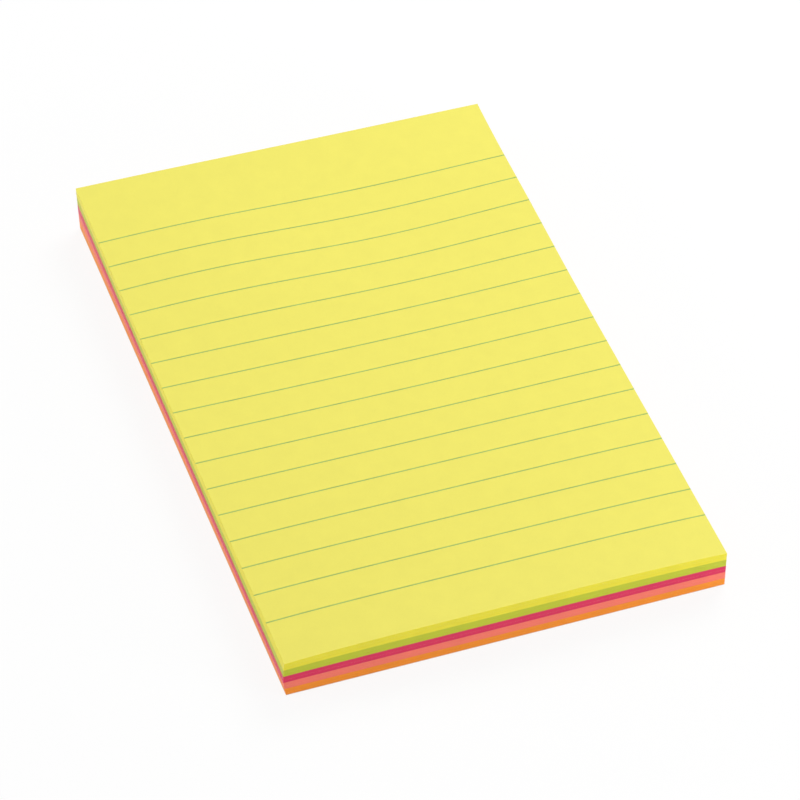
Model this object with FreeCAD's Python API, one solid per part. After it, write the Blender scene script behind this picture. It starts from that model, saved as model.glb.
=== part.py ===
import FreeCAD, Part
import math
import os

from BOPTools import SplitAPI

# A ruled sticky note pad lying on a table, in millimetres.
# +X runs along the ruling, +Y towards the glued edge, +Z up through the sheets.
# The origin is on the table, under the middle of the pad.

# Sheets: five colours of equal count, on one backing sheet
sheet_width = 101.6
sheet_length = 152.4
sheet_pitch = 0.1185
sheets_per_colour = 18
backing_thickness = 0.1
colours = ("orange", "coral", "magenta", "lime", "yellow")

# Adhesive: every sheet has a film along its glued edge, so the pad swells there
adhesive_film = 0.0288
adhesive_width = 25.0
swell_reach = 22.0

# Lean of the whole stack: sideways shift for each millimetre of height
lean_x = -0.0685
lean_y = -0.035

# Crown that lifts the loose sheets at the free edge
crown_height = 0.85
crown_reach = 45.0

# Ripple across the sheets, beside the adhesive
ripple_height = 0.81
ripple_length = 89.5
ripple_crest_x = -29.8
ripple_distance = 33.2
ripple_reach = 20.4

# Shallow hollow in the middle of the pad
hollow_depth = 0.76
hollow_distance = 72.4
hollow_reach = 27.6

# The crown, ripple and hollow belong to the loose upper sheets and fade with depth
warp_fade_power = 2

# Ruling, printed from side to side and soaked into the top sheet
rule_count = 16
rule_width = 0.3
ink_depth = 0.05
first_rule_distance = 18.3
rule_pitch = 8.135

# Surfaces: cubic, a little larger than the sheet, with even spans both ways
degree = 3
overhang = 3.0
spans_across = 12
spans_along = 20
offcut_height = 5.0

half_width = sheet_width / 2
half_length = sheet_length / 2
sheet_count = sheets_per_colour * len(colours)
stack_height = sheet_pitch * sheet_count
swell_height = adhesive_film * sheet_count
peak_height = backing_thickness + stack_height + swell_height
lean_pivot_height = peak_height / 2
up_the_stack = FreeCAD.Vector(lean_x, lean_y, 1)


def bump(distance, reach):
    """A smooth hill of height 1 that fades over its reach."""
    return math.exp(-((distance / reach) ** 2))


def warp(x, y):
    """Lift of the top sheet above an evenly pressed stack."""
    across = x / half_width
    from_glue = half_length - y
    from_free = half_length + y
    crown = crown_height * (1 - across**4) * math.exp(-from_free / crown_reach)
    wave = math.cos(2 * math.pi * (x - ripple_crest_x) / ripple_length)
    ripple = ripple_height * wave * bump(from_glue - ripple_distance, ripple_reach)
    hollow = hollow_depth * (1 - across**2) * bump(from_glue - hollow_distance, hollow_reach)
    return crown + ripple - hollow


def layer_height(level, x, y):
    """Height of the sheet at a level of the stack: 0 on the backing sheet, 1 on top."""
    swell = swell_height * math.exp((y - half_length) / swell_reach)
    pressed = level * (stack_height + swell)
    return backing_thickness + pressed + level**warp_fade_power * warp(x, y)


def leaning(x, y, z):
    """The point where the leaning stack carries a point of the upright one."""
    rise = z - lean_pivot_height
    return FreeCAD.Vector(x + lean_x * rise, y + lean_y * rise, z)


def even_knots(half_span, spans):
    """Knots in millimetres from one side of the sheet's overhang to the other."""
    reach = half_span + overhang
    return [reach * (2 * i / spans - 1) for i in range(spans + 1)]


def pole_places(knots):
    """Where the poles stand, so that a parameter is a distance in millimetres."""
    padded = [knots[0]] * degree + knots + [knots[-1]] * degree
    return [sum(padded[i + 1 : i + 1 + degree]) / degree for i in range(len(knots) + degree - 1)]


def multiplicities(knots):
    """Clamped ends and simple knots between them."""
    return [degree + 1] + [1] * (len(knots) - 2) + [degree + 1]


def layer_surface(level):
    """The curved surface of the sheet at one level, larger than the sheet all round."""
    x_knots = even_knots(half_width, spans_across)
    y_knots = even_knots(half_length, spans_along)
    poles = [
        [leaning(x, y, layer_height(level, x, y)) for y in pole_places(y_knots)]
        for x in pole_places(x_knots)
    ]
    surface = Part.BSplineSurface()
    surface.buildFromPolesMultsKnots(
        poles,
        multiplicities(x_knots),
        multiplicities(y_knots),
        x_knots,
        y_knots,
        False,
        False,
        degree,
        degree,
    )
    return surface


def band_at(level, y_start, y_end, rise):
    """A thin band from side to side, between a level and a small rise above or below it."""
    patch = layer_surface(level).toShape(-half_width, half_width, y_start, y_end)
    return patch.extrude(up_the_stack * rise)


def leaning_prism(z_start, z_end):
    """The stack's straight-cut outline between two heights."""
    corners = [
        leaning(side * half_width, end * half_length, z_start)
        for side, end in ((-1, -1), (1, -1), (1, 1), (-1, 1), (-1, -1))
    ]
    outline = Part.Face(Part.makePolygon(corners))
    return outline.extrude(up_the_stack * (z_end - z_start))


def colour_blocks():
    """The guillotined stack, parted into its colours along the sheets between them."""
    stack = leaning_prism(backing_thickness, peak_height + offcut_height)
    levels = [(i + 1) / len(colours) for i in range(len(colours))]
    cuts = [layer_surface(level).toShape() for level in levels]
    pieces = SplitAPI.slice(stack, cuts, "Split").Solids
    pieces.sort(key=lambda piece: piece.CenterOfMass.z)
    return dict(zip(colours, pieces))


def adhesive_under(index):
    """The film on the back of the lowest sheet of a colour, along the glued edge."""
    level = index / len(colours)
    return band_at(level, half_length - adhesive_width, half_length, adhesive_film)


def ruled_lines():
    """The printed lines, each a thin band of ink, flush with the face of the top sheet."""
    lines = []
    for i in range(rule_count):
        y = half_length - first_rule_distance - rule_pitch * i
        lines.append(band_at(1, y - rule_width / 2, y + rule_width / 2, -ink_depth))
    return Part.makeCompound(lines)


def build():
    """Every sub-part by its node's name."""
    parts = {"backing_sheet": leaning_prism(0, backing_thickness)}
    blocks = colour_blocks()
    for index, colour in enumerate(colours):
        film = adhesive_under(index)
        parts["adhesive_" + colour] = film
        parts[colour + "_sheets"] = blocks[colour].cut(film)
    top_block = colours[-1] + "_sheets"
    parts["ruled_lines"] = ruled_lines()
    parts[top_block] = parts[top_block].cut(parts["ruled_lines"])
    return parts


os.makedirs("parts", exist_ok=True)
for node, shape in build().items():
    shape.exportStep("parts/" + node + ".step")
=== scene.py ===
import logging
import math
import random
from collections.abc import Iterator, Mapping, Sequence
from contextlib import contextmanager
from dataclasses import dataclass, field
from enum import Enum

import bpy
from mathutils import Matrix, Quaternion, Vector


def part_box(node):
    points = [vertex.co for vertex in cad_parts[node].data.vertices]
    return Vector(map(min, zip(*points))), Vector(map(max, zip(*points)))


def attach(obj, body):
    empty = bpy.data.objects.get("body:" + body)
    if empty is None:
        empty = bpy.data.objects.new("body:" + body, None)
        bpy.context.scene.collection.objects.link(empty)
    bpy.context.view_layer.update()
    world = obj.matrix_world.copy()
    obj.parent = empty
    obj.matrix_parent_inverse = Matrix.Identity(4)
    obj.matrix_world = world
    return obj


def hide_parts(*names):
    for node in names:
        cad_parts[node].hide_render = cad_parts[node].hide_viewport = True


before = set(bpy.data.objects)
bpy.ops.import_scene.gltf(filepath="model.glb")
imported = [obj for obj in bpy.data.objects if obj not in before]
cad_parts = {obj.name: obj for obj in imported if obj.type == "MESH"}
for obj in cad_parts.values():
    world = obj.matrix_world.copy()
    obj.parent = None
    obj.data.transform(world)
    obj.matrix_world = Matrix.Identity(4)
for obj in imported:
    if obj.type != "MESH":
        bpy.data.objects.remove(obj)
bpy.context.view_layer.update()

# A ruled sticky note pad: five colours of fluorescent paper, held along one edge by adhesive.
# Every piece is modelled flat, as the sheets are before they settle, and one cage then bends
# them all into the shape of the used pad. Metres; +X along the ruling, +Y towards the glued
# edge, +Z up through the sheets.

LOG = logging.getLogger("note_pad")
MM = 0.001
BODY = "root"
FLAT_MAP = "flat_sheet"
# Edges that turn by less than this are smooth.
SMOOTH_BELOW = math.radians(25)
# A noise texture's values seldom pass these.
NOISE_LOW, NOISE_HIGH = 0.3, 0.7

Xyz = tuple[float, float, float]
Rgba = tuple[float, float, float, float]
# The darkest and the palest brightness of an uneven colour.
Shades = tuple[float, float]


class SheetColour(Enum):
    """The pad's colours, from the table up."""

    ORANGE = "orange"
    CORAL = "coral"
    MAGENTA = "magenta"
    LIME = "lime"
    YELLOW = "yellow"

    @property
    def level(self) -> float:
        """The share of the stack's height that lies under this colour."""
        return list(SheetColour).index(self) / len(SheetColour)


class LampRole(Enum):
    """What each studio lamp is for."""

    KEY = "key"
    FRONT = "front"
    SIDE = "side"


def linear(hex_colour: str) -> Rgba:
    """Turns an sRGB hex colour into the linear colour that a shader takes.

    The numbers in the curve are the sRGB standard's own.

    Args:
        hex_colour: Six hex digits after a hash sign.

    Returns:
        Linear red, green and blue, and an alpha of 1.
    """
    shares = [int(hex_colour[i : i + 2], 16) / 255 for i in (1, 3, 5)]
    red, green, blue = (
        share / 12.92 if share <= 0.04045 else ((share + 0.055) / 1.055) ** 2.4
        for share in shares
    )
    return red, green, blue, 1.0


def add_node(
    tree: bpy.types.NodeTree,
    kind: str,
    inputs: Mapping[str | int, object] | None = None,
    **settings: object,
) -> bpy.types.Node:
    """Adds one node with its settings and its inputs.

    Args:
        tree: The node tree that the node joins.
        kind: The node's type name.
        inputs: What each input takes, by its name or number: a socket that feeds it, or a
            constant.
        settings: The node's own properties.

    Returns:
        The new node.
    """
    node = tree.nodes.new(kind)
    for name, value in settings.items():
        setattr(node, name, value)
    for key, value in (inputs or {}).items():
        if isinstance(value, bpy.types.NodeSocket):
            tree.links.new(value, node.inputs[key])
        else:
            node.inputs[key].default_value = value
    return node


def empty_material(name: str) -> bpy.types.Material:
    """Starts a material whose node tree is still empty.

    Args:
        name: The material's name.

    Returns:
        The new material.
    """
    material = bpy.data.materials.new(name)
    material.use_nodes = True
    material.node_tree.nodes.clear()
    return material


def mottled(
    tree: bpy.types.NodeTree,
    colour: Sequence[float] | bpy.types.NodeSocket,
    noise: bpy.types.Node,
    shades: Shades,
) -> bpy.types.NodeSocket:
    """Makes a colour uneven by a noise texture, as dye and ink are in real paper.

    Args:
        tree: The material's node tree.
        colour: Linear red, green and blue, or the socket that gives them.
        noise: The texture that says where the colour is dark and where it is pale.
        shades: The brightness where it is darkest, and where it is palest.

    Returns:
        The uneven colour.
    """
    darkest, palest = shades
    brightness = add_node(
        tree,
        "ShaderNodeMapRange",
        {
            "Value": noise.outputs["Fac"],
            "From Min": NOISE_LOW,
            "From Max": NOISE_HIGH,
            "To Min": darkest,
            "To Max": palest,
        },
    )
    tinted = add_node(
        tree,
        "ShaderNodeVectorMath",
        {0: colour, 1: brightness.outputs["Result"]},
        operation="MULTIPLY",
    )
    return tinted.outputs["Vector"]


def seen_directly(tree: bpy.types.NodeTree) -> bpy.types.NodeSocket:
    """Adds nodes that tell what the eye meets from what only lights the pad.

    Args:
        tree: The node tree of a material or of the world.

    Returns:
        The socket that gives 1 to camera, mirror and glass rays, and 0 to all others.
    """
    rays = add_node(tree, "ShaderNodeLightPath")
    first = add_node(
        tree,
        "ShaderNodeMath",
        {0: rays.outputs["Is Camera Ray"], 1: rays.outputs["Is Glossy Ray"]},
        operation="ADD",
    )
    both = add_node(
        tree,
        "ShaderNodeMath",
        {0: first.outputs["Value"], 1: rays.outputs["Is Transmission Ray"]},
        operation="ADD",
        use_clamp=True,
    )
    return both.outputs["Value"]


def deselect() -> None:
    """Clears the selection, which an operator would otherwise act on."""
    if bpy.context.mode != "OBJECT":
        bpy.ops.object.mode_set(mode="OBJECT")
    bpy.ops.object.select_all(action="DESELECT")


@contextmanager
def editing(piece: bpy.types.Object) -> Iterator[None]:
    """Opens a piece in edit mode with all of it selected, and closes it again.

    Args:
        piece: The mesh object to edit.

    Yields:
        Nothing; the operators of edit mode act on the piece meanwhile.
    """
    deselect()
    piece.select_set(True)
    bpy.context.view_layer.objects.active = piece
    bpy.ops.object.mode_set(mode="EDIT")
    bpy.ops.mesh.select_mode(type="FACE")
    bpy.ops.mesh.select_all(action="SELECT")
    yield
    bpy.ops.object.mode_set(mode="OBJECT")


def flat_grid(
    name: str, size: Vector, low_corner: Vector, cells: tuple[int, int]
) -> bpy.types.Object:
    """Adds a flat rectangle of faces, with its place in its mesh.

    Args:
        name: The object's name.
        size: Width and length; the height isn't used.
        low_corner: The corner with the lowest X and Y.
        cells: How many faces it has each way.

    Returns:
        The new object, at the origin, unturned and unscaled.
    """
    deselect()
    centre = (low_corner.x + size.x / 2, low_corner.y + size.y / 2, low_corner.z)
    bpy.ops.mesh.primitive_grid_add(
        x_subdivisions=cells[0], y_subdivisions=cells[1], size=1, location=centre
    )
    piece = bpy.context.active_object
    piece.name = piece.data.name = name
    piece.scale = (size.x, size.y, 1)
    bpy.ops.object.transform_apply(location=True, rotation=True, scale=True)
    return piece


def raise_selection(step: Xyz) -> None:
    """Extrudes the selected faces by a step, which leaves walls behind them."""
    bpy.ops.mesh.extrude_region_move(TRANSFORM_OT_translate={"value": step})


def widen_selection(growth: float, size: Vector, centre: Vector) -> None:
    """Widens the selected faces by the same distance on every side.

    Args:
        growth: The distance that each side moves outwards.
        size: Width and length of the selected faces now.
        centre: The middle of the selected faces.
    """
    factors = (1 + 2 * growth / size.x, 1 + 2 * growth / size.y, 1)
    bpy.ops.transform.resize(value=factors, center_override=centre)


def lay_out_flat_map(piece: bpy.types.Object) -> None:
    """Gives a flat piece a UV map in metres, which then bends with it.

    Caps take X and Y. Walls take the distance along them and the height in the flat stack.

    Args:
        piece: The mesh object, still flat.
    """
    mesh = piece.data
    layer = mesh.uv_layers.new(name=FLAT_MAP)
    for polygon in mesh.polygons:
        normal = polygon.normal
        across = 1 if abs(normal.x) > max(abs(normal.y), abs(normal.z)) else 0
        upward = 1 if abs(normal.z) > max(abs(normal.x), abs(normal.y)) else 2
        for loop in polygon.loop_indices:
            place = mesh.vertices[mesh.loops[loop].vertex_index].co
            layer.data[loop].uv = (place[across], place[upward])


def close_up(piece: bpy.types.Object) -> None:
    """Turns a closed piece's faces outwards and smooths its gentle edges.

    Args:
        piece: The mesh object to finish.
    """
    with editing(piece):
        bpy.ops.mesh.normals_make_consistent(inside=False)
    bpy.ops.object.shade_smooth_by_angle(angle=SMOOTH_BELOW)


def hand_over(piece: bpy.types.Object, slot: str, *nodes: str) -> None:
    """Puts a finished piece on the pad's body, in place of its CAD nodes.

    Args:
        piece: The finished mesh object.
        slot: The record's material slot that the piece stands for; not used.
        nodes: The CAD nodes that it stands for.
    """
    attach(piece, BODY)
    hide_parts(*nodes)
    LOG.info("%s: %d faces, for %s", piece.name, len(piece.data.polygons), ", ".join(nodes))


@dataclass(frozen=True)
class StackForm:
    """Sizes of the pad in metres, and the shape that its sheets have settled into.

    The adhesive swells the glued edge, the free edge is crowned, and the top sheets have a
    ripple and a shallow hollow between them. Each form has 37 % of its height left at its
    reach.
    """

    sheet_width: float
    sheet_length: float
    backing_thickness: float
    sheet_pitch: float = 0.1185 * MM
    sheets_per_colour: int = 18
    adhesive_film: float = 0.0288 * MM
    adhesive_width: float = 25.0 * MM
    swell_reach: float = 22.0 * MM
    # How far the stack leans across and along for each unit of its height.
    lean_x: float = -0.0685
    lean_y: float = -0.035
    crown_height: float = 0.85 * MM
    crown_reach: float = 45.0 * MM
    # The higher this is, the nearer to the sides the crown stays level.
    crown_squareness: int = 4
    # The ripple's and the hollow's distances are from the glued edge.
    ripple_height: float = 0.81 * MM
    ripple_length: float = 89.5 * MM
    ripple_crest_x: float = -29.8 * MM
    ripple_distance: float = 33.2 * MM
    ripple_reach: float = 20.4 * MM
    hollow_depth: float = 0.76 * MM
    hollow_distance: float = 72.4 * MM
    hollow_reach: float = 27.6 * MM
    # The crown, ripple and hollow fade towards the table as this power of the height.
    warp_fade_power: int = 2
    # The guillotine's cut bows out on the left, most of all halfway up and at the free edge.
    cut_bow: float = 0.44 * MM

    @classmethod
    def from_frame(cls) -> "StackForm":
        """Takes the sheet's outline and the backing's thickness from the frame.

        Returns:
            The form of a pad that stands on the frame's backing sheet.
        """
        low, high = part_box("backing_sheet")
        size = high - low
        # The box is larger than the sheet by the lean of its cut edges.
        return cls(
            sheet_width=size.x - abs(cls.lean_x) * size.z,
            sheet_length=size.y - abs(cls.lean_y) * size.z,
            backing_thickness=size.z,
        )

    @property
    def stack_height(self) -> float:
        """Height of all the sheets, without the adhesive between them."""
        return self.sheet_pitch * self.sheets_per_colour * len(SheetColour)

    @property
    def swell_height(self) -> float:
        """How much the adhesive films add at the glued edge."""
        return self.adhesive_film * self.sheets_per_colour * len(SheetColour)

    @property
    def pivot_height(self) -> float:
        """The height at which the leaning stack stands over its middle."""
        return (self.backing_thickness + self.stack_height + self.swell_height) / 2

    def flat_height(self, level: float) -> float:
        """Height of a level of the flat stack, from 0 on the backing sheet to 1 on top."""
        return self.backing_thickness + level * self.stack_height

    def warp(self, x: float, y: float) -> float:
        """Works out how far the top sheet is warped up or down at one place.

        Args:
            x: The place across the flat sheet.
            y: The place along it.

        Returns:
            The lift above an evenly pressed stack.
        """
        across = 2 * x / self.sheet_width
        from_glue = self.sheet_length / 2 - y
        from_free = self.sheet_length / 2 + y
        dome = 1 - across**self.crown_squareness
        crown = self.crown_height * dome * math.exp(-from_free / self.crown_reach)
        wave = math.cos(2 * math.pi * (x - self.ripple_crest_x) / self.ripple_length)
        ripple = self.ripple_height * wave * math.exp(
            -(((from_glue - self.ripple_distance) / self.ripple_reach) ** 2)
        )
        hollow = self.hollow_depth * (1 - across**2) * math.exp(
            -(((from_glue - self.hollow_distance) / self.hollow_reach) ** 2)
        )
        return crown + ripple - hollow

    def settled(self, level: float, x: float, y: float) -> Vector:
        """Where a point of the flat stack ends up in the settled, leaning one.

        Args:
            level: The point's share of the flat stack's height.
            x: Its place across the sheet.
            y: Its place along the sheet.

        Returns:
            The point's place in the finished pad.
        """
        swell = self.swell_height * math.exp((y - self.sheet_length / 2) / self.swell_reach)
        pressed = level * (self.stack_height + swell)
        z = self.backing_thickness + pressed + level**self.warp_fade_power * self.warp(x, y)
        rise = z - self.pivot_height
        to_left, to_free = 0.5 - x / self.sheet_width, 0.5 - y / self.sheet_length
        bow = self.cut_bow * math.sin(math.pi * level) * to_left * to_free
        return Vector((x + self.lean_x * rise - bow, y + self.lean_y * rise, z))


@dataclass
class BendingCage:
    """A lattice that bends flat pieces into the settled shape, all by the same amount."""

    form: StackForm
    cell: float = 4.0 * MM
    # How far it reaches past the sheets, because its curves need points on both sides.
    margin: float = 12.0 * MM
    cage: bpy.types.Object = field(init=False)

    def __post_init__(self) -> None:
        """Builds the lattice round the flat stack and moves its points."""
        form = self.form
        size = Vector(
            (
                form.sheet_width + 2 * self.margin,
                form.sheet_length + 2 * self.margin,
                form.stack_height,
            )
        )
        middle = Vector((0, 0, form.flat_height(0.5)))
        deselect()
        bpy.ops.object.add(type="LATTICE", location=middle)
        self.cage = bpy.context.active_object
        self.cage.name = "bending_cage"
        self.cage.scale = size
        lattice = self.cage.data
        lattice.points_u = round(size.x / self.cell) + 1
        lattice.points_v = round(size.y / self.cell) + 1
        lattice.points_w = len(SheetColour) + 1
        lattice.interpolation_type_u = "KEY_BSPLINE"
        lattice.interpolation_type_v = "KEY_BSPLINE"
        lattice.interpolation_type_w = "KEY_LINEAR"
        # A lattice's own coordinates run from -0.5 to 0.5 each way.
        for point in lattice.points:
            flat = Vector(a * b for a, b in zip(point.co, size))
            settled = form.settled(point.co.z + 0.5, flat.x, flat.y) - middle
            point.co_deform = Vector(a / b for a, b in zip(settled, size))

    def bend(self, piece: bpy.types.Object) -> None:
        """Bends one flat piece and keeps the result in its mesh.

        Args:
            piece: The mesh object, still flat.
        """
        deselect()
        piece.select_set(True)
        bpy.context.view_layer.objects.active = piece
        modifier = piece.modifiers.new("settle", "LATTICE")
        modifier.object = self.cage
        bpy.ops.object.modifier_apply(modifier=modifier.name)

    def put_away(self) -> None:
        """Deletes the lattice once every piece is bent."""
        bpy.data.objects.remove(self.cage)


@dataclass(frozen=True)
class PaperFinish:
    """Uncoated 75 g fluorescent note paper, dyed in the mass and guillotined.

    The faces are matte, with soft clouds of uneven pulp and a fine tooth of fibres. The cut
    edges are deeper in colour, because light is caught between the sheets. The knife presses
    them a little smoother, and leaves a nap of short fibres that looks pale at a glancing
    angle.
    """

    colour: SheetColour
    face_hex: str
    cut_hex: str
    face_roughness: float = 0.85
    cut_roughness: float = 0.7
    nap_weight: float = 1.0
    nap_spread: float = 0.34
    ior: float = 1.5
    cloud: float = 5.0 * MM
    # Real fibres are 0.02 mm wide; they are drawn coarser, or the render can't show them.
    fibre: float = 0.22 * MM
    fibre_twist: float = 1.5
    pulp_shades: Shades = (0.985, 1.015)
    tooth_height: float = 0.02 * MM
    tooth_strength: float = 0.25
    sheet: float = StackForm.sheet_pitch
    # How far the blade drags a mark along the edge.
    drag: float = 6.0 * MM
    strata_shades: Shades = (0.93, 1.05)

    @property
    def slot(self) -> str:
        """The record's material slot for this paper."""
        return f"{self.colour.value}_paper"

    def face_material(self) -> bpy.types.Material:
        """Makes the material of the sheets' faces, with clouds of pulp and fibres.

        Returns:
            The new material.
        """
        material = empty_material(f"uncoated_paper_{self.colour.value}_face")
        tree = material.node_tree
        flat = add_node(tree, "ShaderNodeUVMap", uv_map=FLAT_MAP)
        clouds = add_node(
            tree,
            "ShaderNodeTexNoise",
            {
                "Vector": flat.outputs["UV"],
                "Scale": 1 / self.cloud,
                "Detail": 4.0,
                "Roughness": 0.6,
            },
        )
        fibres = add_node(
            tree,
            "ShaderNodeTexNoise",
            {
                "Vector": flat.outputs["UV"],
                "Scale": 1 / self.fibre,
                "Detail": 2.0,
                "Distortion": self.fibre_twist,
            },
        )
        pulp = mottled(tree, linear(self.face_hex)[:3], clouds, self.pulp_shades)
        colour = mottled(tree, pulp, fibres, self.pulp_shades)
        self._finish_paper(tree, flat, {"Base Color": colour, "Roughness": self.face_roughness})
        return material

    def cut_material(self) -> bpy.types.Material:
        """Makes the material of the cut edges, shaded sheet by sheet along the blade's way.

        Returns:
            The new material.
        """
        material = empty_material(f"uncoated_paper_{self.colour.value}_cut_edge")
        tree = material.node_tree
        flat = add_node(tree, "ShaderNodeUVMap", uv_map=FLAT_MAP)
        dragged = add_node(
            tree,
            "ShaderNodeMapping",
            {"Vector": flat.outputs["UV"], "Scale": (1 / self.drag, 1 / self.sheet, 1)},
        )
        strata = add_node(
            tree,
            "ShaderNodeTexNoise",
            {"Vector": dragged.outputs["Vector"], "Scale": 1.0, "Detail": 2.0},
        )
        nap = {
            "Base Color": mottled(tree, linear(self.cut_hex)[:3], strata, self.strata_shades),
            "Roughness": self.cut_roughness,
            "Sheen Weight": self.nap_weight,
            "Sheen Roughness": self.nap_spread,
        }
        self._finish_paper(tree, flat, nap)
        return material

    def _finish_paper(
        self, tree: bpy.types.NodeTree, flat: bpy.types.Node, look: Mapping[str, object]
    ) -> None:
        """Ends a paper's tree with its shader, under the tooth of the fibres.

        Args:
            tree: The material's node tree.
            flat: The node that gives the place on the flat sheet.
            look: What the shader takes for colour, roughness and sheen.
        """
        tooth = add_node(
            tree,
            "ShaderNodeTexNoise",
            {
                "Vector": flat.outputs["UV"],
                "Scale": 1 / self.fibre,
                "Detail": 3.0,
                "Roughness": 0.6,
            },
        )
        bump = add_node(
            tree,
            "ShaderNodeBump",
            {
                "Height": tooth.outputs["Fac"],
                "Strength": self.tooth_strength,
                "Distance": self.tooth_height,
            },
        )
        shader = add_node(
            tree,
            "ShaderNodeBsdfPrincipled",
            {"Normal": bump.outputs["Normal"], "IOR": self.ior, **look},
        )
        add_node(tree, "ShaderNodeOutputMaterial", {"Surface": shader.outputs["BSDF"]})


@dataclass(frozen=True)
class InkFinish:
    """Thin yellowish green offset ink, which soaks into the paper and stays matte.

    It lies thicker and thinner over the paper's clouds of pulp, so a line is a little uneven.
    """

    ink_hex: str = "#9EBC64"
    slot: str = "ruling_ink"
    roughness: float = 0.85
    ior: float = 1.5
    cloud: float = 3.0 * MM
    shades: Shades = (0.9, 1.15)

    def material(self) -> bpy.types.Material:
        """Makes the ink's material.

        Returns:
            The new material.
        """
        material = empty_material("offset_ink_green")
        tree = material.node_tree
        flat = add_node(tree, "ShaderNodeUVMap", uv_map=FLAT_MAP)
        density = add_node(
            tree,
            "ShaderNodeTexNoise",
            {"Vector": flat.outputs["UV"], "Scale": 1 / self.cloud, "Detail": 3.0},
        )
        shader = add_node(
            tree,
            "ShaderNodeBsdfPrincipled",
            {
                "Base Color": mottled(tree, linear(self.ink_hex)[:3], density, self.shades),
                "Roughness": self.roughness,
                "IOR": self.ior,
            },
        )
        add_node(tree, "ShaderNodeOutputMaterial", {"Surface": shader.outputs["BSDF"]})
        return material


@dataclass(frozen=True)
class AdhesiveFinish:
    """Milky acrylic microsphere adhesive, a thin tacky film with a soft wet sheen.

    Its tiny spheres leave it grainy.
    """

    film_hex: str = "#E9E7D6"
    slot: str = "adhesive"
    roughness: float = 0.45
    ior: float = 1.47
    # Real spheres are 0.05 mm across; they are drawn at twice that, so that they show.
    sphere: float = 0.1 * MM
    grain_height: float = 0.01 * MM
    grain_strength: float = 0.3

    def material(self) -> bpy.types.Material:
        """Makes the adhesive's material.

        Returns:
            The new material.
        """
        material = empty_material("acrylic_adhesive_film")
        tree = material.node_tree
        flat = add_node(tree, "ShaderNodeUVMap", uv_map=FLAT_MAP)
        spheres = add_node(
            tree,
            "ShaderNodeTexVoronoi",
            {"Vector": flat.outputs["UV"], "Scale": 1 / self.sphere},
        )
        bump = add_node(
            tree,
            "ShaderNodeBump",
            {
                "Height": spheres.outputs["Distance"],
                "Strength": self.grain_strength,
                "Distance": self.grain_height,
            },
            invert=True,
        )
        shader = add_node(
            tree,
            "ShaderNodeBsdfPrincipled",
            {
                "Base Color": linear(self.film_hex),
                "Normal": bump.outputs["Normal"],
                "Roughness": self.roughness,
                "IOR": self.ior,
            },
        )
        add_node(tree, "ShaderNodeOutputMaterial", {"Surface": shader.outputs["BSDF"]})
        return material


@dataclass(frozen=True)
class ReleasePaperFinish:
    """Bleached kraft paper with a baked silicone coat, smooth, white and half glossy.

    The paper is faintly cloudy under its coat, which follows the clouds a little.
    """

    paper_hex: str = "#F1F0EA"
    roughness: float = 0.5
    ior: float = 1.43
    cloud: float = 6.0 * MM
    shades: Shades = (0.97, 1.01)
    cloud_height: float = 0.05 * MM
    cloud_strength: float = 0.15

    def material(self) -> bpy.types.Material:
        """Makes the release paper's material.

        Returns:
            The new material.
        """
        material = empty_material("silicone_release_paper")
        tree = material.node_tree
        place = add_node(tree, "ShaderNodeTexCoord")
        clouds = add_node(
            tree,
            "ShaderNodeTexNoise",
            {
                "Vector": place.outputs["Object"],
                "Scale": 1 / self.cloud,
                "Detail": 5.0,
                "Roughness": 0.65,
            },
        )
        bump = add_node(
            tree,
            "ShaderNodeBump",
            {
                "Height": clouds.outputs["Fac"],
                "Strength": self.cloud_strength,
                "Distance": self.cloud_height,
            },
        )
        shader = add_node(
            tree,
            "ShaderNodeBsdfPrincipled",
            {
                "Base Color": mottled(tree, linear(self.paper_hex)[:3], clouds, self.shades),
                "Normal": bump.outputs["Normal"],
                "Roughness": self.roughness,
                "IOR": self.ior,
            },
        )
        add_node(tree, "ShaderNodeOutputMaterial", {"Surface": shader.outputs["BSDF"]})
        return material


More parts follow.
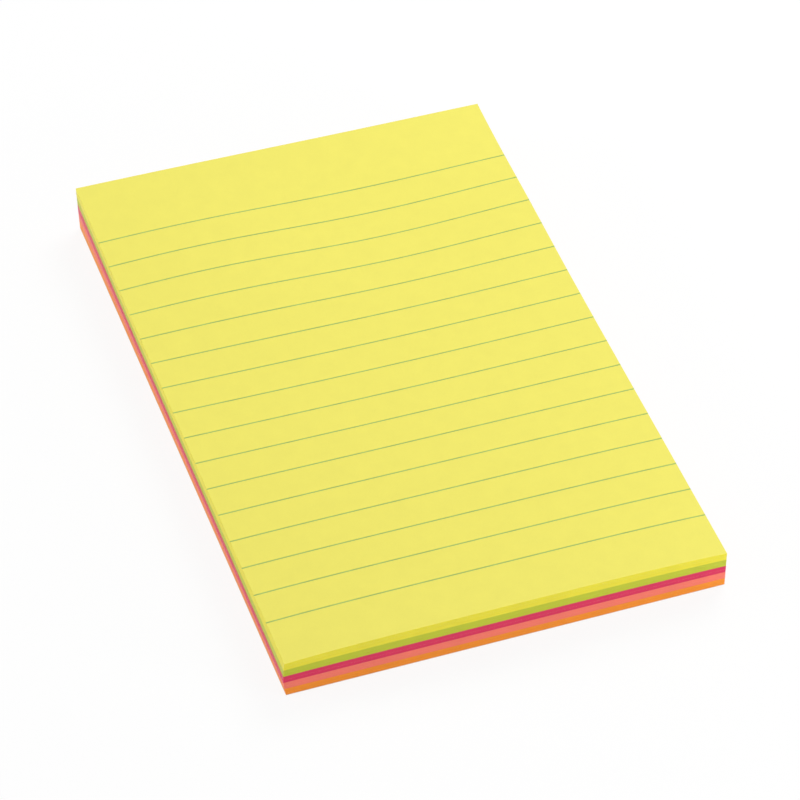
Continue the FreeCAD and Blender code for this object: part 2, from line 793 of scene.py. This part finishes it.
@dataclass
class ColourBlock:
    """The sheets of one colour: one closed piece whose walls show every sheet's cut edge."""

    finish: PaperFinish
    form: StackForm
    draws: random.Random
    groove_depth: float = 0.03 * MM
    # How far a sheet may lie out of line.
    stray: float = 0.03 * MM
    # The share of a sheet's thickness that slopes into the groove, above and below its cut.
    lip_share: float = 0.2
    cells: tuple[int, int] = (40, 60)
    # A polygon whose normal is at least this upright is on a sheet's face, not on its edge.
    face_upright: float = 0.9

    def build(self, cage: BendingCage) -> None:
        """Models the block flat, bends it and dresses it.

        Args:
            cage: The cage that holds the pad's settled shape.
        """
        piece = self._stack_sheets()
        lay_out_flat_map(piece)
        self._dress(piece)
        cage.bend(piece)
        node = f"{self.finish.colour.value}_sheets"
        hand_over(piece, self.finish.slot, node)

    def _stack_sheets(self) -> bpy.types.Object:
        """Raises a flat rectangle sheet by sheet, each a little out of line.

        Returns:
            The block, closed and still flat.
        """
        form, draws = self.form, self.draws
        bottom = form.flat_height(self.finish.colour.level)
        inset = self.groove_depth + self.stray
        size = Vector((form.sheet_width - 2 * inset, form.sheet_length - 2 * inset, 0))
        corner = Vector((-size.x / 2, -size.y / 2, bottom))
        piece = flat_grid(f"{self.finish.colour.value}_paper_block", size, corner, self.cells)
        wide = size + Vector((2 * self.groove_depth, 2 * self.groove_depth, 0))
        lip = form.sheet_pitch * self.lip_share
        cut = form.sheet_pitch - 2 * lip
        place = Vector((0, 0, bottom))
        with editing(piece):
            for _ in range(form.sheets_per_colour):
                target = Vector((draws.uniform(-1, 1), draws.uniform(-1, 1), 0)) * self.stray
                raise_selection((target.x - place.x, target.y - place.y, lip))
                place = Vector((target.x, target.y, place.z + lip))
                widen_selection(self.groove_depth, size, place)
                raise_selection((0, 0, cut))
                place.z += cut
                raise_selection((0, 0, lip))
                place.z += lip
                widen_selection(-self.groove_depth, wide, place)
        close_up(piece)
        return piece

    def _dress(self, piece: bpy.types.Object) -> None:
        """Gives the faces and the cut edges their papers.

        Args:
            piece: The block, still flat.
        """
        piece.data.materials.append(self.finish.face_material())
        piece.data.materials.append(self.finish.cut_material())
        for polygon in piece.data.polygons:
            polygon.material_index = 0 if abs(polygon.normal.z) > self.face_upright else 1


@dataclass
class Ruling:
    """The lines printed across the top sheet, from side to side."""

    finish: InkFinish
    form: StackForm
    line_count: int = 16
    line_width: float = 0.3 * MM
    first_distance: float = 18.3 * MM
    line_pitch: float = 8.135 * MM
    ink_depth: float = 0.03 * MM
    # Just enough for the print to lie over the facets of the sheet's curved face.
    proud: float = 0.012 * MM
    edge_inset: float = 0.05 * MM
    cells: tuple[int, int] = (80, 1)

    def build(self, cage: BendingCage) -> None:
        """Models one line, repeats it down the sheet and bends them all.

        Args:
            cage: The cage that holds the pad's settled shape.
        """
        form = self.form
        size = Vector((form.sheet_width - 2 * self.edge_inset, self.line_width, 0))
        middle = form.sheet_length / 2 - self.first_distance
        bottom = form.flat_height(1) - self.ink_depth
        corner = Vector((-size.x / 2, middle - size.y / 2, bottom))
        piece = flat_grid("printed_ruling", size, corner, self.cells)
        with editing(piece):
            raise_selection((0, 0, self.ink_depth + self.proud))
        array = piece.modifiers.new("lines", "ARRAY")
        array.use_relative_offset = False
        array.use_constant_offset = True
        array.constant_offset_displace = (0, -self.line_pitch, 0)
        array.count = self.line_count
        bpy.ops.object.modifier_apply(modifier=array.name)
        close_up(piece)
        lay_out_flat_map(piece)
        piece.data.materials.append(self.finish.material())
        cage.bend(piece)
        hand_over(piece, self.finish.slot, "ruled_lines")


@dataclass
class AdhesiveFilm:
    """The film on the back of a colour's lowest sheet, along the glued edge."""

    colour: SheetColour
    finish: AdhesiveFinish
    form: StackForm
    # It ends behind the grooves of the cut edge, so no pale line shows between two colours.
    edge_inset: float = 0.08 * MM
    cells: tuple[int, int] = (40, 10)

    def build(self, cage: BendingCage) -> None:
        """Models the film flat and bends it.

        Args:
            cage: The cage that holds the pad's settled shape.
        """
        form = self.form
        size = Vector((form.sheet_width - 2 * self.edge_inset, form.adhesive_width, 0))
        bottom = form.flat_height(self.colour.level)
        back = form.sheet_length / 2 - self.edge_inset
        corner = Vector((-size.x / 2, back - size.y, bottom))
        piece = flat_grid(f"{self.colour.value}_adhesive_film", size, corner, self.cells)
        with editing(piece):
            raise_selection((0, 0, form.adhesive_film))
        close_up(piece)
        lay_out_flat_map(piece)
        piece.data.materials.append(self.finish.material())
        cage.bend(piece)
        hand_over(piece, self.finish.slot, f"adhesive_{self.colour.value}")


@dataclass
class BackingSheet:
    """The release sheet under the last note, which keeps its CAD shape."""

    finish: ReleasePaperFinish
    node: str = "backing_sheet"

    def dress(self) -> None:
        """Gives the CAD sheet its paper."""
        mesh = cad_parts[self.node].data
        mesh.materials.clear()
        mesh.materials.append(self.finish.material())
        LOG.info("%s: keeps its shape, in %s", self.node, mesh.materials[0].name)


@dataclass
class NotePad:
    """The whole pad: its paper, print, adhesive and backing."""

    form: StackForm
    seed: int = 11
    papers: Sequence[PaperFinish] = (
        PaperFinish(SheetColour.ORANGE, face_hex="#F9984C", cut_hex="#F99814"),
        PaperFinish(SheetColour.CORAL, face_hex="#FB8C7C", cut_hex="#F87D68"),
        PaperFinish(SheetColour.MAGENTA, face_hex="#EB4C80", cut_hex="#DD1F59"),
        PaperFinish(SheetColour.LIME, face_hex="#CBDA56", cut_hex="#C1CA24"),
        PaperFinish(SheetColour.YELLOW, face_hex="#F3EA67", cut_hex="#ECE22F"),
    )

    def build(self) -> None:
        """Builds every piece of the pad and lets the cage go."""
        cage = BendingCage(self.form)
        draws = random.Random(self.seed)
        BackingSheet(ReleasePaperFinish()).dress()
        for paper in self.papers:
            AdhesiveFilm(paper.colour, AdhesiveFinish(), self.form).build(cage)
            ColourBlock(paper, self.form, draws).build(cage)
        Ruling(InkFinish(), self.form).build(cage)
        cage.put_away()


@dataclass(frozen=True)
class Lamp:
    """One soft square studio lamp."""

    role: LampRole
    place: Xyz
    side: float
    watts: float

    def build(self) -> None:
        """Adds the lamp, facing the pad."""
        deselect()
        bpy.ops.object.light_add(type="AREA", location=self.place)
        lamp = bpy.context.active_object
        lamp.name = f"{self.role.value}_lamp"
        lamp.data.shape = "SQUARE"
        lamp.data.size = self.side
        lamp.data.energy = self.watts
        lamp.visible_camera = False
        lamp.rotation_mode = "QUATERNION"
        lamp.rotation_quaternion = Vector(self.place).to_track_quat("Z", "Y")
        LOG.info("%s: %.1f W", lamp.name, self.watts)


@dataclass
class Studio:
    """A white table and soft light, with the camera where the pad is best seen."""

    lamps: Sequence[Lamp] = (
        Lamp(LampRole.KEY, place=(0.42, 0.38, 0.63), side=0.5, watts=4.14),
        Lamp(LampRole.FRONT, place=(0.34, -0.36, 0.095), side=0.17, watts=0.95),
        Lamp(LampRole.SIDE, place=(-0.85, 0.15, 0.2), side=0.36, watts=2.9),
    )
    white_hex: str = "#FFFFFF"
    sky_strength: float = 0.445
    # The table ends before the line where the front lamp's light on it would stop.
    floor_side: float = 0.7
    # How much of the floor's white is its own, which leaves the pad's shadow soft.
    floor_glow: float = 0.9
    floor_gap: float = 0.01 * MM
    camera_place: Vector = field(default_factory=lambda: Vector((-224.02, -550.17, 604.79)) * MM)
    camera_aim: Vector = field(default_factory=lambda: Vector((2.78, -0.98, 0.0)) * MM)
    camera_roll: float = math.radians(3.345)
    lens_mm: float = 166.66
    sensor_mm: float = 36.0

    def build(self) -> None:
        """Adds the floor, the light and the camera."""
        self._floor()
        self._sky()
        for lamp in self.lamps:
            lamp.build()
        self._camera()
        bpy.context.scene.view_settings.view_transform = "Standard"

    def _floor(self) -> None:
        """Adds the white table, which keeps a soft shadow."""
        deselect()
        bpy.ops.mesh.primitive_plane_add(size=self.floor_side, location=(0, 0, -self.floor_gap))
        floor = bpy.context.active_object
        floor.name = "white_table"
        material = empty_material("matte_white_table")
        tree = material.node_tree
        white = linear(self.white_hex)
        matte = add_node(tree, "ShaderNodeBsdfDiffuse", {"Color": white})
        glow = add_node(tree, "ShaderNodeEmission", {"Color": white, "Strength": 1.0})
        share = add_node(
            tree,
            "ShaderNodeMath",
            {0: seen_directly(tree), 1: self.floor_glow},
            operation="MULTIPLY",
        )
        mixed = add_node(
            tree,
            "ShaderNodeMixShader",
            {0: share.outputs["Value"], 1: matte.outputs["BSDF"], 2: glow.outputs["Emission"]},
        )
        add_node(tree, "ShaderNodeOutputMaterial", {"Surface": mixed.outputs["Shader"]})
        floor.data.materials.append(material)

    def _sky(self) -> None:
        """Adds even light from all round, and a white background behind the table."""
        world = bpy.data.worlds.new("white_studio")
        bpy.context.scene.world = world
        world.use_nodes = True
        tree = world.node_tree
        tree.nodes.clear()
        white = linear(self.white_hex)
        light = add_node(
            tree, "ShaderNodeBackground", {"Color": white, "Strength": self.sky_strength}
        )
        backdrop = add_node(tree, "ShaderNodeBackground", {"Color": white, "Strength": 1.0})
        mixed = add_node(
            tree,
            "ShaderNodeMixShader",
            {
                0: seen_directly(tree),
                1: light.outputs["Background"],
                2: backdrop.outputs["Background"],
            },
        )
        add_node(tree, "ShaderNodeOutputWorld", {"Surface": mixed.outputs["Shader"]})

    def _camera(self) -> None:
        """Adds the camera, aimed at the pad and rolled a little."""
        deselect()
        bpy.ops.object.camera_add(location=self.camera_place)
        camera = bpy.context.active_object
        camera.name = "studio_camera"
        camera.data.sensor_width = self.sensor_mm
        camera.data.lens = self.lens_mm
        back = (self.camera_place - self.camera_aim).normalized()
        camera.rotation_mode = "QUATERNION"
        level = back.to_track_quat("Z", "Y")
        roll = Quaternion((0, 0, 1), self.camera_roll)
        camera.rotation_quaternion = level @ roll
        bpy.context.scene.camera = camera


def main() -> None:
    """Builds the pad and the studio, and reports each piece."""
    logging.basicConfig(level=logging.INFO, format="%(name)s: %(message)s")
    NotePad(StackForm.from_frame()).build()
    Studio().build()


if __name__ == "__main__":
    main()
